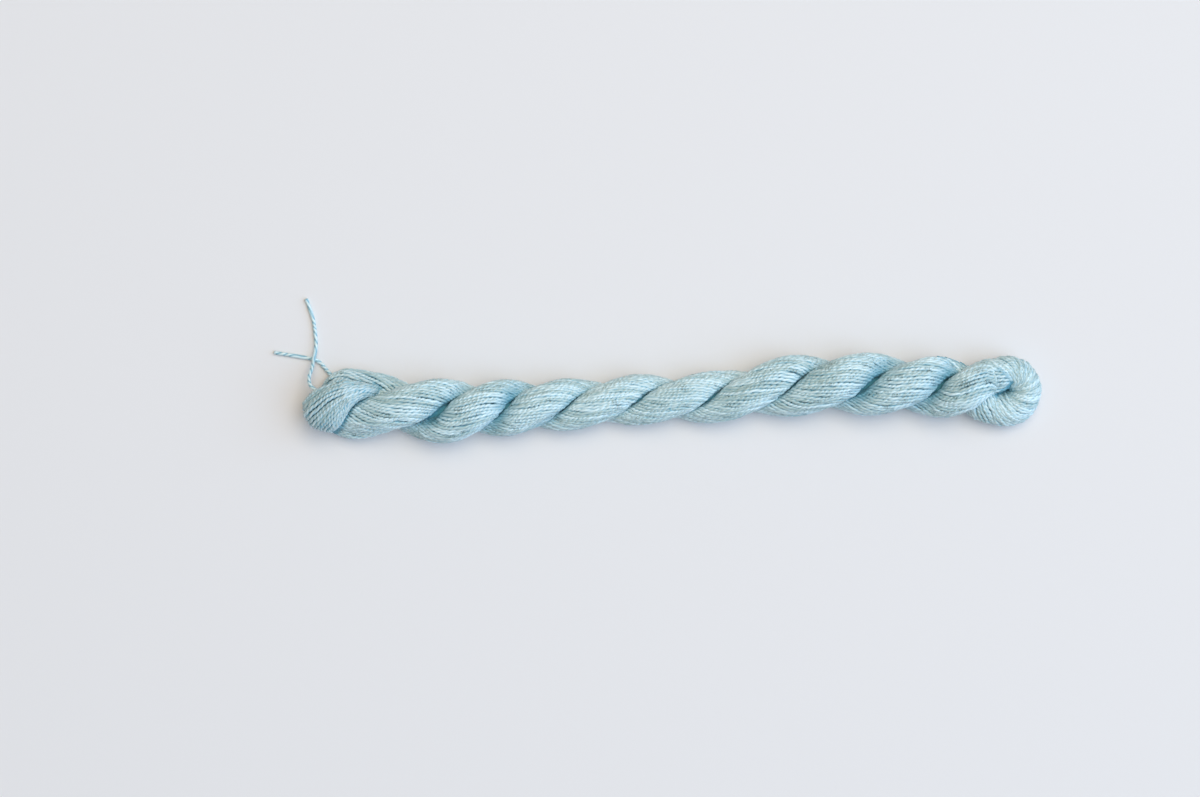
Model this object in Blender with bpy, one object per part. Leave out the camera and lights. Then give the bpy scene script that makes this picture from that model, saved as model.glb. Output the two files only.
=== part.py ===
"""A twisted skein of two-ply embroidery floss with its tie thread.

The hank is doubled, twisted and folded in half, so it is a short rope of two legs laid left-handed
round each other. At the right end the legs meet in a U-turn. At the left end one leg splits into a
flat loop that lies on the table, and the other comes up through that loop and lies over it as a
rounded head. A single thread ties the loop and crosses itself.

Units are metres, +X along the skein to its U-turn, +Y across it, +Z up. The skein lies on z = 0, and
the origin is the middle of its footprint. Tables are in millimetres, and MM turns them into metres.
"""

import math

import bmesh
import bpy
import numpy as np

MM = 0.001

# The rope's creases, one for each half turn of the lay, from the left end to the U-turn. Between two
# creases one leg lies on top and the other below. leg_radius is the radius of one leg, and offset is how
# far its middle lies from the rope's own middle line. The first row stands past the left end, and guides
# the last half turn into it.
CREASES = [
    # turn, x_mm, y_mm, leg_radius_mm, offset_mm
    (-1, -106.0, -1.4, 4.7, 3.0),
    (0, -88.6, -1.7, 5.1, 3.0),
    (1, -64.8, -3.6, 5.9, 3.2),
    (2, -47.2, -2.8, 5.4, 2.6),
    (3, -29.2, -1.9, 5.1, 2.3),
    (4, -9.3, -0.4, 5.0, 2.2),
    (5, 11.0, 0.2, 5.1, 2.3),
    (6, 33.4, 3.4, 5.9, 2.7),
    (7, 54.9, 3.9, 6.0, 2.8),
    (8, 74.6, 3.2, 5.8, 2.9),
    (9, 90.2, 1.8, 5.0, 4.3),
]
LAST_TURN = CREASES[-1][0]

# The half circle that joins the legs at the right end, which comes down from the upper leg to the table.
# Past DROP_TURN each leg leaves the rope's even height, and it has its own END_HEIGHT at the last crease.
UTURN_X = 93.9 * MM
UTURN_Y = 2.2 * MM
UTURN_RADIUS = 5.2 * MM
UTURN = [
    # angle_deg, z_mm, leg_radius_mm
    (90, 7.2, 4.5),
    (60, 6.5, 4.6),
    (30, 5.9, 4.7),
    (0, 5.4, 4.8),
    (-30, 5.1, 4.9),
    (-60, 4.9, 5.0),
    (-90, 4.8, 5.1),
]
DROP_TURN = LAST_TURN - 0.5
END_HEIGHT = (8.2 * MM, 4.8 * MM)

# The skein is soft, so it lies a little flatter than it was twisted, and its underside is pressed flat.
FLATTENING = 0.88
PRESSED_DEPTH = 0.5 * MM
TABLE_SPACE = (0.3, 0.08, 0.02)

FLOSS_COLOUR = (0.36, 0.51, 0.55)
TIE_COLOUR = (0.40, 0.54, 0.58)
THREAD_ROUGHNESS = 0.45

# One leg starts with a rounded stub under the head. The other runs on through a narrow neck into the head.
STUB_TURN = -0.2
NECK_TURN = 0.3
STUB = [
    # x_mm, y_mm, z_mm, half_width_mm, half_height_mm
    (-93.6, -4.2, 5.3, 1.9, 1.9),
    (-92.7, -4.2, 5.3, 3.7, 3.7),
]
HEAD = [
    # x_mm, y_mm, z_mm, half_width_mm, half_height_mm
    (-85.2, 3.1, 8.8, 3.6, 4.5),
    (-90.6, 0.7, 10.9, 4.2, 4.4),
    (-95.0, -1.8, 11.3, 6.0, 3.8),
    (-98.9, -3.0, 10.5, 5.5, 3.7),
    (-101.9, -3.6, 9.2, 3.9, 3.3),
    (-103.4, -3.9, 8.4, 1.9, 2.0),
]

END_LOOP_RADIUS = 3.3 * MM
END_LOOP = [
    # x_mm, y_mm, z_mm
    (-75.0, -4.2, 9.8),
    (-80.9, -6.5, 8.5),
    (-86.5, -8.0, 6.5),
    (-91.3, -8.2, 4.2),
    (-94.8, -6.2, 3.1),
    (-96.1, -2.0, 2.9),
    (-95.9, 2.6, 2.9),
    (-92.8, 4.8, 3.3),
    (-87.2, 4.5, 4.4),
    (-81.1, 3.3, 5.6),
    (-75.9, 1.2, 6.6),
    (-71.6, -0.8, 7.2),
]

TIE_DIAMETER = 1.1 * MM
TIE_CLEARANCE = 0.4 * MM
TIE_ROUTE = [
    # x_mm, y_mm, z_mm, from the upper free end round the end loop to the left free end
    (-103.7, 28.1, 0.7),
    (-102.6, 25.0, 0.7),
    (-101.7, 22.2, 0.7),
    (-101.2, 18.8, 0.8),
    (-100.9, 16.0, 1.1),
    (-101.0, 13.2, 1.7),
    (-101.4, 10.9, 2.6),
    (-101.8, 8.2, 4.1),
    (-102.4, 5.8, 5.6),
    (-102.0, 3.6, 6.1),
    (-100.1, 2.1, 6.2),
    (-97.2, 1.0, 6.3),
    (-94.3, 0.2, 6.1),
    (-92.1, 0.3, 4.8),
    (-91.6, 1.3, 2.9),
    (-92.3, 2.9, 1.3),
    (-94.6, 4.9, 0.8),
    (-96.9, 6.8, 0.8),
    (-98.3, 8.4, 0.8),
    (-99.5, 9.8, 0.8),
    (-101.1, 10.8, 0.8),
    (-103.6, 11.4, 0.7),
    (-106.5, 11.9, 0.7),
    (-109.8, 12.4, 0.7),
    (-112.8, 12.9, 0.7),
]

# How finely the curves are cut into rings. A path's rings stand closer where it bends, as if each radian
# of the bend were BEND_LENGTH more of it. A smooth curve is first read at CURVE_STEPS points a table row,
# or ROPE_CURVE_STEPS along the legs, which have LEG_STEPS_PER_TURN rows to each turn of the lay.
LEG_SIDES = 24
LEG_SPACING = 3.1 * MM
LOOP_SIDES = 16
LOOP_SPACING = 3.0 * MM
WAY_SIDES = 10
TIE_SPACING = 1.1 * MM
BEND_LENGTH = 4.0 * MM
CURVE_STEPS = 24
ROPE_CURVE_STEPS = 8
LEG_STEPS_PER_TURN = 8
TIE_BEVEL_RESOLUTION = 2


def smooth_curve(points, steps):
    """Points along the centripetal Catmull-Rom curve through the given points, with steps to each span."""
    points = np.asarray(points, float)
    ends = np.vstack([2 * points[0] - points[1], points, 2 * points[-1] - points[-2]])
    gaps = np.sqrt(np.linalg.norm(np.diff(ends[:, :3], axis=0), axis=1))
    knots = np.concatenate([[0.0], np.cumsum(gaps)])
    curve = []
    for i in range(len(points) - 1):
        k0, k1, k2, k3 = knots[i:i + 4]
        p0, p1, p2, p3 = ends[i:i + 4]
        k = np.linspace(k1, k2, steps, endpoint=False)[:, None]
        a1 = (k1 - k) / (k1 - k0) * p0 + (k - k0) / (k1 - k0) * p1
        a2 = (k2 - k) / (k2 - k1) * p1 + (k - k1) / (k2 - k1) * p2
        a3 = (k3 - k) / (k3 - k2) * p2 + (k - k2) / (k3 - k2) * p3
        b1 = (k2 - k) / (k2 - k0) * a1 + (k - k0) / (k2 - k0) * a2
        b2 = (k3 - k) / (k3 - k1) * a2 + (k - k1) / (k3 - k1) * a3
        curve.append((k2 - k) / (k2 - k1) * b1 + (k - k1) / (k2 - k1) * b2)
    return np.vstack(curve + [points[-1:]])


def even_steps(curve, spacing, bend_length=0.0):
    """The curve read again about every spacing, and closer in bends.

    The curve's first three columns are x, y and z, and any others are read along with them.
    """
    steps = np.diff(curve[:, :3], axis=0)
    lengths = np.linalg.norm(steps, axis=1)
    along = steps / lengths[:, None]
    bends = np.arccos(np.clip(np.sum(along[1:] * along[:-1], axis=1), -1, 1))
    lengths[1:] += bend_length * bends
    travel = np.concatenate([[0.0], np.cumsum(lengths)])
    wanted = np.linspace(0.0, travel[-1], int(round(travel[-1] / spacing)) + 1)
    return np.column_stack([np.interp(wanted, travel, column) for column in curve.T])


def smooth_step(value):
    """A smooth rise from 0 to 1 as the value goes from 0 to 1."""
    value = np.clip(value, 0, 1)
    return value * value * (3 - 2 * value)


def leg_points(first_turn, last_turn, side):
    """One leg's middle line with its two section radii, from one turn of the lay to another.

    The rope's middle line and sizes run smoothly through the creases. A leg circles that line once in two
    turns of the table, left-handed, so side 0 lies on top between creases 0 and 1, and side 1 between 1
    and 2.
    """
    table = np.array(CREASES, float)
    lay = smooth_curve(np.column_stack([table[:, 1:] * MM, table[:, 0]]), CURVE_STEPS)
    turns = np.linspace(first_turn, last_turn, int(abs(last_turn - first_turn) * LEG_STEPS_PER_TURN) + 1)
    x, y, radius, offset = (np.interp(turns, lay[:, 4], lay[:, i]) for i in range(4))
    angle = math.pi * (1 - turns + side)
    height = radius + offset - PRESSED_DEPTH / FLATTENING + offset * np.sin(angle)
    height += (END_HEIGHT[side] - height) * smooth_step((turns - DROP_TURN) / (LAST_TURN - DROP_TURN))
    return np.column_stack([x, y + offset * np.cos(angle), height, radius, radius])


def uturn_points():
    """The half circle that joins the two legs at the right end."""
    angle_deg, height, radius = np.array(UTURN, float).T
    angle = np.radians(angle_deg)
    x = UTURN_X + UTURN_RADIUS * np.cos(angle)
    y = UTURN_Y + UTURN_RADIUS * np.sin(angle)
    return np.column_stack([x, y, height * MM, radius * MM, radius * MM])


def rope_points():
    """The whole rope: the stub and its leg out to the U-turn, and the other leg back and on into the head."""
    rows = [np.array(STUB) * MM, leg_points(STUB_TURN, LAST_TURN, 0), uturn_points(),
            leg_points(LAST_TURN, NECK_TURN, 1), np.array(HEAD) * MM]
    return even_steps(smooth_curve(np.vstack(rows), ROPE_CURVE_STEPS), LEG_SPACING, BEND_LENGTH)


def sections_along(path, sides):
    """Rings of points round a path whose columns are x, y, z, half width and half height.

    Each ring is an ellipse square to the path. Its width lies level, across the path.
    """
    middle = path[:, :3]
    along = np.gradient(middle, axis=0)
    along /= np.linalg.norm(along, axis=1)[:, None]
    across = np.cross(along, [0.0, 0.0, 1.0])
    across /= np.linalg.norm(across, axis=1)[:, None]
    upward = np.cross(across, along)
    angle = np.linspace(0, 2 * math.pi, sides, endpoint=False)
    return (middle[:, None] + path[:, 3, None, None] * np.cos(angle)[None, :, None] * across[:, None]
            + path[:, 4, None, None] * np.sin(angle)[None, :, None] * upward[:, None])


def tube_object(name, rings):
    """A closed mesh of triangles through the rings, each end closed by a fan to its middle."""
    count, sides = rings.shape[:2]
    vertices = np.vstack([rings.reshape(-1, 3), rings[0].mean(axis=0), rings[-1].mean(axis=0)])
    faces = []
    for ring in range(count - 1):
        for side in range(sides):
            after = (side + 1) % sides
            low, high = ring * sides, (ring + 1) * sides
            faces.append((low + side, low + after, high + after, high + side))
    first, last = count * sides, count * sides + 1
    for side in range(sides):
        after = (side + 1) % sides
        faces.append((first, after, side))
        faces.append((last, (count - 1) * sides + side, (count - 1) * sides + after))
    mesh = bpy.data.meshes.new(name)
    mesh.from_pydata(vertices.tolist(), [], faces)
    made = bmesh.new()
    made.from_mesh(mesh)
    bmesh.ops.recalc_face_normals(made, faces=made.faces)
    bmesh.ops.triangulate(made, faces=made.faces)
    made.to_mesh(mesh)
    made.free()
    made_object = bpy.data.objects.new(name, mesh)
    bpy.context.scene.collection.objects.link(made_object)
    return made_object


def flattened(rings):
    """The rings, lower by the skein's flattening."""
    return rings * np.array([1.0, 1.0, FLATTENING])


def tie_curve():
    """The tie thread's middle line at even steps, from its upper free end to its left free end."""
    return even_steps(smooth_curve(np.array(TIE_ROUTE) * MM, CURVE_STEPS), TIE_SPACING)


def as_cutter(made_object):
    """Mark an object as a tool for a Boolean, which isn't part of the skein."""
    made_object.hide_render = True
    made_object.display_type = 'WIRE'
    return made_object


def add_boolean(made_object, operation, operand):
    """Join the operand to the object, or cut it away. A union also joins the object's own overlaps."""
    boolean = made_object.modifiers.new(operand.name, 'BOOLEAN')
    boolean.operation = operation
    boolean.solver = 'EXACT'
    boolean.use_self = operation == 'UNION'
    boolean.object = operand


def table_cutter():
    """The space under the table's surface, which presses the skein flat."""
    mesh = bpy.data.meshes.new("table_space")
    box = bmesh.new()
    bmesh.ops.create_cube(box, size=1.0)
    bmesh.ops.scale(box, vec=TABLE_SPACE, verts=box.verts)
    bmesh.ops.translate(box, vec=(0.0, 0.0, -TABLE_SPACE[2] / 2), verts=box.verts)
    box.to_mesh(mesh)
    box.free()
    cutter = bpy.data.objects.new("table_space", mesh)
    bpy.context.scene.collection.objects.link(cutter)
    return as_cutter(cutter)


def thread_material(name, colour):
    """The thread's plain colour and its soft sheen."""
    material = bpy.data.materials.new(name)
    material.use_nodes = True
    shader = material.node_tree.nodes["Principled BSDF"]
    shader.inputs["Base Color"].default_value = (*colour, 1.0)
    shader.inputs["Roughness"].default_value = THREAD_ROUGHNESS
    shader.inputs["Metallic"].default_value = 0.0
    return material


def make_skein(material):
    """The rope and its end loop as one solid, pressed flat on the table, with the tie's way cut free."""
    skein = tube_object("skein", flattened(sections_along(rope_points(), LEG_SIDES)))
    loop_line = even_steps(smooth_curve(np.array(END_LOOP) * MM, CURVE_STEPS), LOOP_SPACING, BEND_LENGTH)
    loop_path = np.column_stack([loop_line, np.full((len(loop_line), 2), END_LOOP_RADIUS)])
    end_loop = as_cutter(tube_object("end_loop", flattened(sections_along(loop_path, LOOP_SIDES))))
    way_line = tie_curve()
    way_path = np.column_stack([way_line, np.full((len(way_line), 2), TIE_DIAMETER / 2 + TIE_CLEARANCE)])
    way = as_cutter(tube_object("tie_way", sections_along(way_path, WAY_SIDES)))
    add_boolean(skein, 'UNION', end_loop)
    add_boolean(skein, 'DIFFERENCE', way)
    add_boolean(skein, 'DIFFERENCE', table_cutter())
    skein.data.materials.append(material)


def make_tie(material):
    """The tie thread, a round curve along its route."""
    curve = bpy.data.curves.new("tie", 'CURVE')
    curve.dimensions = '3D'
    curve.bevel_depth = TIE_DIAMETER / 2
    curve.bevel_resolution = TIE_BEVEL_RESOLUTION
    curve.use_fill_caps = True
    route = tie_curve()
    spline = curve.splines.new('POLY')
    spline.points.add(len(route) - 1)
    for point, place in zip(spline.points, route):
        point.co = (*place, 1.0)
    tie = bpy.data.objects.new("tie", curve)
    bpy.context.scene.collection.objects.link(tie)
    curve.materials.append(material)


def main():
    """Clear the scene and model the skein and its tie."""
    for old in list(bpy.data.objects):
        bpy.data.objects.remove(old, do_unlink=True)
    make_skein(thread_material("floss", FLOSS_COLOUR))
    make_tie(thread_material("tie_thread", TIE_COLOUR))


main()
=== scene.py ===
"""The finish of a twisted skein of embroidery floss, laid out as an add-on and run as a script.

Every thread that shows is a two-ply surface swept along its own path. The leg threads follow the two
legs of the rope and turn round them, the loop threads follow the flat end loop, and the head threads
fan out of the neck and roll under at the rim. A single thread ties the end loop. Units are metres, and
the tables are in millimetres.
"""

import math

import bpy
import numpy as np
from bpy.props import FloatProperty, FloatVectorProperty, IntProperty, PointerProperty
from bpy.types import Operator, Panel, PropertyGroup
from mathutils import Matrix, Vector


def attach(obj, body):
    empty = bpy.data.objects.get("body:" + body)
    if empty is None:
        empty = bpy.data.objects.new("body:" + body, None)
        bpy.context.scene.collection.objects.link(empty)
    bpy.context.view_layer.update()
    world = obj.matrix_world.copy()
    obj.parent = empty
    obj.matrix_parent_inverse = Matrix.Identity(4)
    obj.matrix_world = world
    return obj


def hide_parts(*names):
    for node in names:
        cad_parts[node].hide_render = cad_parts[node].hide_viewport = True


bl_info = {
    "name": "Twisted Floss Skein",
    "version": (1, 0, 0),
    "blender": (4, 5, 0),
    "location": "View3D > Sidebar > Skein",
    "description": "Lays the threads of a twisted skein of floss, its tie, and a stage to look at it",
    "category": "Object",
}

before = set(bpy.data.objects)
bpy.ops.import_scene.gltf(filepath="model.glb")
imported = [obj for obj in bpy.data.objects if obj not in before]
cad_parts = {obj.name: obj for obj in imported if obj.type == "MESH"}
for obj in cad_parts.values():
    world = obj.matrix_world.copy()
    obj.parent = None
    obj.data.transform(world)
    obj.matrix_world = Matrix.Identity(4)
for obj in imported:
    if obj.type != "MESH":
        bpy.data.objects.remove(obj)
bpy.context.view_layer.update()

MM = 0.001

# The rope's creases, one for each half turn of the lay, from the left end to the U-turn. Between two
# creases one leg lies on top and the other below. The shade is how wide and dark the painted shade in a
# crease is, and the crease's pit grows with it.
CREASES = [
    # turn, x_mm, y_mm, leg_radius_mm, offset_mm, shade
    (-1, -106.0, -1.4, 4.7, 3.0, 0.8),
    (0, -88.6, -1.7, 5.1, 3.0, 0.8),
    (1, -64.8, -3.6, 5.9, 3.2, 1.25),
    (2, -47.2, -2.8, 5.4, 2.6, 1.8),
    (3, -29.2, -1.9, 5.1, 2.3, 0.85),
    (4, -9.3, -0.4, 5.0, 2.2, 0.65),
    (5, 11.0, 0.2, 5.1, 2.3, 0.75),
    (6, 33.4, 3.4, 5.9, 2.7, 0.8),
    (7, 54.9, 3.9, 6.0, 2.8, 1.5),
    (8, 74.6, 3.2, 5.8, 2.9, 1.8),
    (9, 90.2, 1.8, 5.0, 4.3, 1.0),
]
LAST_TURN = CREASES[-1][0]

# The U-turn: seen from above a half circle, from the end of one leg to the end of the other.
UTURN_X = 93.9 * MM
UTURN_Y = 2.2 * MM
UTURN_RADIUS = 5.2 * MM
UTURN = [
    # angle_deg, z_mm, leg_radius_mm
    (90, 7.2, 4.5),
    (60, 6.5, 4.6),
    (30, 5.9, 4.7),
    (0, 5.4, 4.8),
    (-30, 5.1, 4.9),
    (-60, 4.9, 5.0),
    (-90, 4.8, 5.1),
]

# The heights at which the two legs come to the U-turn, and the turn from which they go there.
END_HEIGHT = (8.2 * MM, 4.8 * MM)
DROP_TURN = LAST_TURN - 0.5

# How flat the skein lies: its heights as a share of a round rope's, how far under the table its lowest
# places would be if they weren't pressed up, and how softly a thread bends as it comes to the table.
FLATTENING = 0.88
PRESSED_DEPTH = 0.5 * MM
TABLE_SOFTNESS = 0.12 * MM

# Where each leg stands free of the other, so that the flat between them fades away.
FREE_LEFT_TURN = 0.45
FREE_RIGHT_TURN = LAST_TURN - 0.6
FREE_FADE_TURNS = 0.5
FREE_FLAT = 1.6

# How sharply a leg turns into its flat where the crease faces up and where it faces sideways, how wide
# the painted shade of a crease of shade 1 is in radians round the leg, how far its darkest part reaches
# as a share of that, how dark that painted shade is where the crease faces sideways as a share of where
# it faces up, and how much deeper the threads dive there as a share of the flat's distance.
TOP_CORNER = 1.25
SIDE_CORNER = 2.6
CREASE_WIDTH = 0.7
CREASE_DARK = 0.3
CREASE_SIDE = 0.35
CREASE_PIT = 0.22

# The radius of the dark middle between the legs, a piece painted dark as the shade deep in the creases,
# and its way down into the U-turn's eye.
MIDDLE_RADIUS = 2.5 * MM
MIDDLE_EYE = [
    # x_mm, y_mm, z_mm
    (90.2, 1.8, 4.6),
    (93.9, 2.2, 2.8),
]

# The threads that show on the U-turn come from the eye and fan out over it, so each lies nearly across
# the leg. The angles go on past 90 and -90 along the straight legs, at the same length to a degree.
FAN = [
    # rim_deg, eye_deg
    (155, 66),
    (105, 48),
    (60, 32),
    (30, 18),
    (7, -7),
    (-30, -90),
    (-50, -158),
    (-90, -220),
    (-150, -290),
    (-230, -370),
]

# The way along the outer rim at its angles, in radii of the U-turn's middle line. The rim is about twice
# as far from the centre, so the way grows twice as fast on the half circle as along the straight legs.
RIM_LENGTHS = [
    # rim_deg, length
    (180, -0.5 * math.pi),
    (90, 0.0),
    (-90, 2 * math.pi),
    (-270, 3 * math.pi),
]

# The ways round at which a fan thread starts and ends, the power by which its slant falls off towards the
# rim and how much of it leans on underneath, and the way round by which the deeper threads have come up.
FAN_WAYS = (0.03, 0.86)
FAN_POWER = 1.3
FAN_LEAN = 0.3
FAN_START = 0.24

# How deep the leg threads sink under the fan, in what length they do, and the share of it that lies
# outside the fan. The sunk threads are painted darker as shade, the deeper the darker. The painted
# shade in the eye reaches this far along the fan's threads.
FAN_SINK = 1.1 * MM
FAN_FADE = 1.8 * MM
FAN_OUTSIDE = 0.4
EYE_SHADE = 4.2 * MM

# The two ends of the rope, and the turns at which they go on from the legs: the stub, which lies inside
# the end loop, and the neck, which goes up through it.
STUB_TURN = -0.2
NECK_TURN = 0.55
STUB = [
    # x_mm, y_mm, z_mm, half_width_mm, half_height_mm
    (-93.6, -4.2, 5.3, 1.9, 1.9),
    (-92.7, -4.2, 5.3, 3.7, 3.7),
]
NECK = [
    # x_mm, y_mm, z_mm, half_width_mm, half_height_mm
    (-80.5, 0.4, 5.6, 3.2, 3.0),
    (-84.6, 1.2, 7.0, 2.3, 2.3),
    (-88.6, 0.9, 8.4, 2.0, 2.0),
]

# The flat end loop: its radius, and its middle line from the rope round to the rope again.
END_LOOP_RADIUS = 3.3 * MM
END_LOOP = [
    # x_mm, y_mm, z_mm
    (-75.0, -4.2, 9.8),
    (-80.9, -6.5, 8.5),
    (-86.5, -8.0, 6.5),
    (-91.3, -8.2, 4.2),
    (-94.8, -6.2, 3.1),
    (-96.1, -2.0, 2.9),
    (-95.9, 2.6, 2.9),
    (-92.8, 4.8, 3.3),
    (-87.2, 4.5, 4.4),
    (-81.1, 3.3, 5.6),
    (-75.9, 1.2, 6.6),
    (-71.6, -0.8, 7.2),
]

# Five guide threads of the head, from the neck to the rim, seen from above. The first follows the upper
# edge and the last the right-hand one, and the threads between them are read across the guides.
HEAD_GUIDES = [
    # x_mm, y_mm at each station from the neck to the rim
    [(-82.0, 2.9), (-86.7, 4.0), (-92.2, 4.8), (-96.8, 3.4), (-100.9, 1.3), (-103.4, -1.4)],
    [(-82.4, 2.2), (-86.9, 2.9), (-92.0, 2.4), (-96.4, 0.6), (-100.4, -2.4), (-103.3, -5.0)],
    [(-82.8, 1.4), (-86.9, 1.8), (-91.4, 0.3), (-95.4, -2.3), (-98.8, -5.4), (-101.3, -7.7)],
    [(-83.2, 0.6), (-86.8, 0.8), (-90.4, -0.9), (-93.7, -3.8), (-96.5, -6.7), (-98.6, -8.8)],
    [(-83.6, -0.2), (-86.4, 0.1), (-89.4, -1.6), (-91.4, -4.4), (-93.3, -7.4), (-95.6, -9.4)],
]
HEAD_HEIGHTS = [
    # middle_mm, crown_mm at each station from the neck to the rim
    (5.6, 1.6),
    (9.2, 3.1),
    (10.8, 3.6),
    (10.8, 3.3),
    (10.0, 3.0),
    (8.8, 2.6),
]

# The head's middle line, away from which its threads face, and the size of its inside, for its core.
HEAD = [
    # x_mm, y_mm, z_mm, half_width_mm, half_height_mm
    (-85.2, 2.1, 8.8, 2.6, 3.5),
    (-90.6, 0.7, 10.9, 4.2, 4.4),
    (-95.0, -1.8, 11.3, 6.0, 3.8),
    (-98.9, -3.0, 10.5, 5.5, 3.7),
    (-101.9, -3.6, 9.2, 3.9, 3.3),
]

# The first and last thread's angles over the head's top, how far each strays as a share of the angle
# between two, and the least share of the crown that a thread rises by. The threads roll over in this
# length before the rim and end this far back under it. Every second one starts lower at the neck and
# comes up in the sink's length, and the painted shade at the neck reaches this far.
HEAD_ANGLES = (0.06 * math.pi, 0.90 * math.pi)
HEAD_STRAY = 0.1
HEAD_LEAST_RISE = 0.25
HEAD_ROLL = 3.4 * MM
HEAD_UNDER = 7.0 * MM
HEAD_SINK = 1.4 * MM
HEAD_SINK_LENGTH = 9.0 * MM
NECK_SHADE = 2.4 * MM

# Seams where one bundle passes over another, seen from above: the threads beside them are painted
# darker as shade. The painted shade fades over one half width, and has gone at SEAM_END of them.
SEAM_END = 1.6
SEAMS = [
    # half_width_mm, strength, then x_mm, y_mm along the seam
    (0.7, 0.8, HEAD_GUIDES[0]),
    (1.2, 1.0, HEAD_GUIDES[-1][1:]),
    (0.8, 1.0, [(94.8, 4.3), (93.9, 3.0), (92.0, 1.6), (90.8, 0.6)]),
    (0.5, 0.6, [(90.9, 8.0), (92.7, 6.7), (94.7, 4.5)]),
    (0.35, 0.45, [(95.0, 3.7), (97.2, 4.2), (98.4, 6.3), (98.6, 8.8)]),
]

TIE_ROUTE = [
    # x_mm, y_mm, z_mm, from the upper free end round the end loop to the left free end
    (-103.7, 28.1, 0.7),
    (-102.6, 25.0, 0.7),
    (-101.7, 22.2, 0.7),
    (-101.2, 18.8, 0.8),
    (-100.9, 16.0, 1.1),
    (-101.0, 13.2, 1.7),
    (-101.4, 10.9, 2.6),
    (-101.8, 8.2, 4.1),
    (-102.4, 5.8, 5.6),
    (-102.0, 3.6, 6.1),
    (-100.1, 2.1, 6.2),
    (-97.2, 1.0, 6.3),
    (-94.3, 0.2, 6.1),
    (-92.1, 0.3, 4.8),
    (-91.6, 1.3, 2.9),
    (-92.3, 2.9, 1.3),
    (-94.6, 4.9, 0.8),
    (-96.9, 6.8, 0.8),
    (-98.3, 8.4, 0.8),
    (-99.5, 9.8, 0.8),
    (-101.1, 10.8, 0.8),
    (-103.6, 11.4, 0.7),
    (-106.5, 11.9, 0.7),
    (-109.8, 12.4, 0.7),
    (-112.8, 12.9, 0.7),
]

# Roughly upward, and never along the tie: the side from which its plies' turning is counted. The tone is
# read as a thread's own is.
TIE_UPWARD = (0.3, 0.1, 1.0)
TIE_TONE = 0.8

# How finely the curves and surfaces are cut, and the most triangles in one piece of threads.
CURVE_STEPS = 24
ROPE_CURVE_STEPS = 8
SEAM_STEPS = 4
LEG_STEPS_PER_TURN = 8
FAN_ROWS = 97
FAN_STEPS = 160
HEAD_STEPS = 79
HEAD_ROLL_STEPS = 40
HEAD_UNDER_STEPS = 19
THREAD_SPACING = 0.34 * MM
UNDER_SPACING = 1.0 * MM
CORE_SPACING = 0.9 * MM
CORE_SIDES = 32
TIE_SPACING = 0.4 * MM
PIECE_TRIANGLES = 190000

# How deep the under threads lie, and how high above the table the lowest threads' middles do, in half
# thread diameters, and how many under threads a leg has as a share of its outer ones.
UNDER_DEPTH = 1.7
CLEARANCE = 1.06
UNDER_SHARE = 0.75

# How deep the cores, painted dark as shade, lie under the surface, and how high above the table, in
# thread diameters.
LEG_CORE_DEPTH = 1.5
LOOP_CORE_DEPTH = 1.5
HEAD_CORE_DEPTH = 1.9
MIDDLE_CORE_DEPTH = 0.0
CORE_CLEARANCE = 2.0

# A two-ply thread's section: two round plies side by side, a shallow waist between them. The under
# threads, which only show in the gaps, are wider and have six points.
PLY_SECTION = [
    # across, through, as shares of the thread's diameter
    (0.51, 0.0), (0.35, 0.36), (0.0, 0.32), (-0.35, 0.36),
    (-0.51, 0.0), (-0.35, -0.36), (0.0, -0.32), (0.35, -0.36),
]
UNDER_SECTION = [
    # across, through, as shares of the thread's diameter
    (0.60, 0.0), (0.30, 0.36), (-0.30, 0.36), (-0.60, 0.0), (-0.30, -0.36), (0.30, -0.36),
]

# The painted shade on a thread's sides starts where the cosine of a place's angle from outward is this,
# and is full where that has fallen by the span. A thread's own pitch lies between these shares of the
# common one, and a leg's thread strays out of its layer by no more than the last.
SHADE_START = 0.85
SHADE_SPAN = 0.9
PITCH_SHARES = (0.88, 1.12)
MOST_PROUD = 0.15 * MM

# The stage, in metres: the table's half side, and where the two lights stand and how wide they are.
TABLE_HALF = 3.0
TABLE_ROUGHNESS = 0.7
WINDOW_PLACE = (2.1, -0.1, 2.2)
WINDOW_SIZE = 3.8
LAMP_PLACE = (0.3, 0.5, 2.0)
LAMP_SIZE = 1.5


# ---------------------------------------------------------------------------------------------------
# Settings
# ---------------------------------------------------------------------------------------------------

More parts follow.
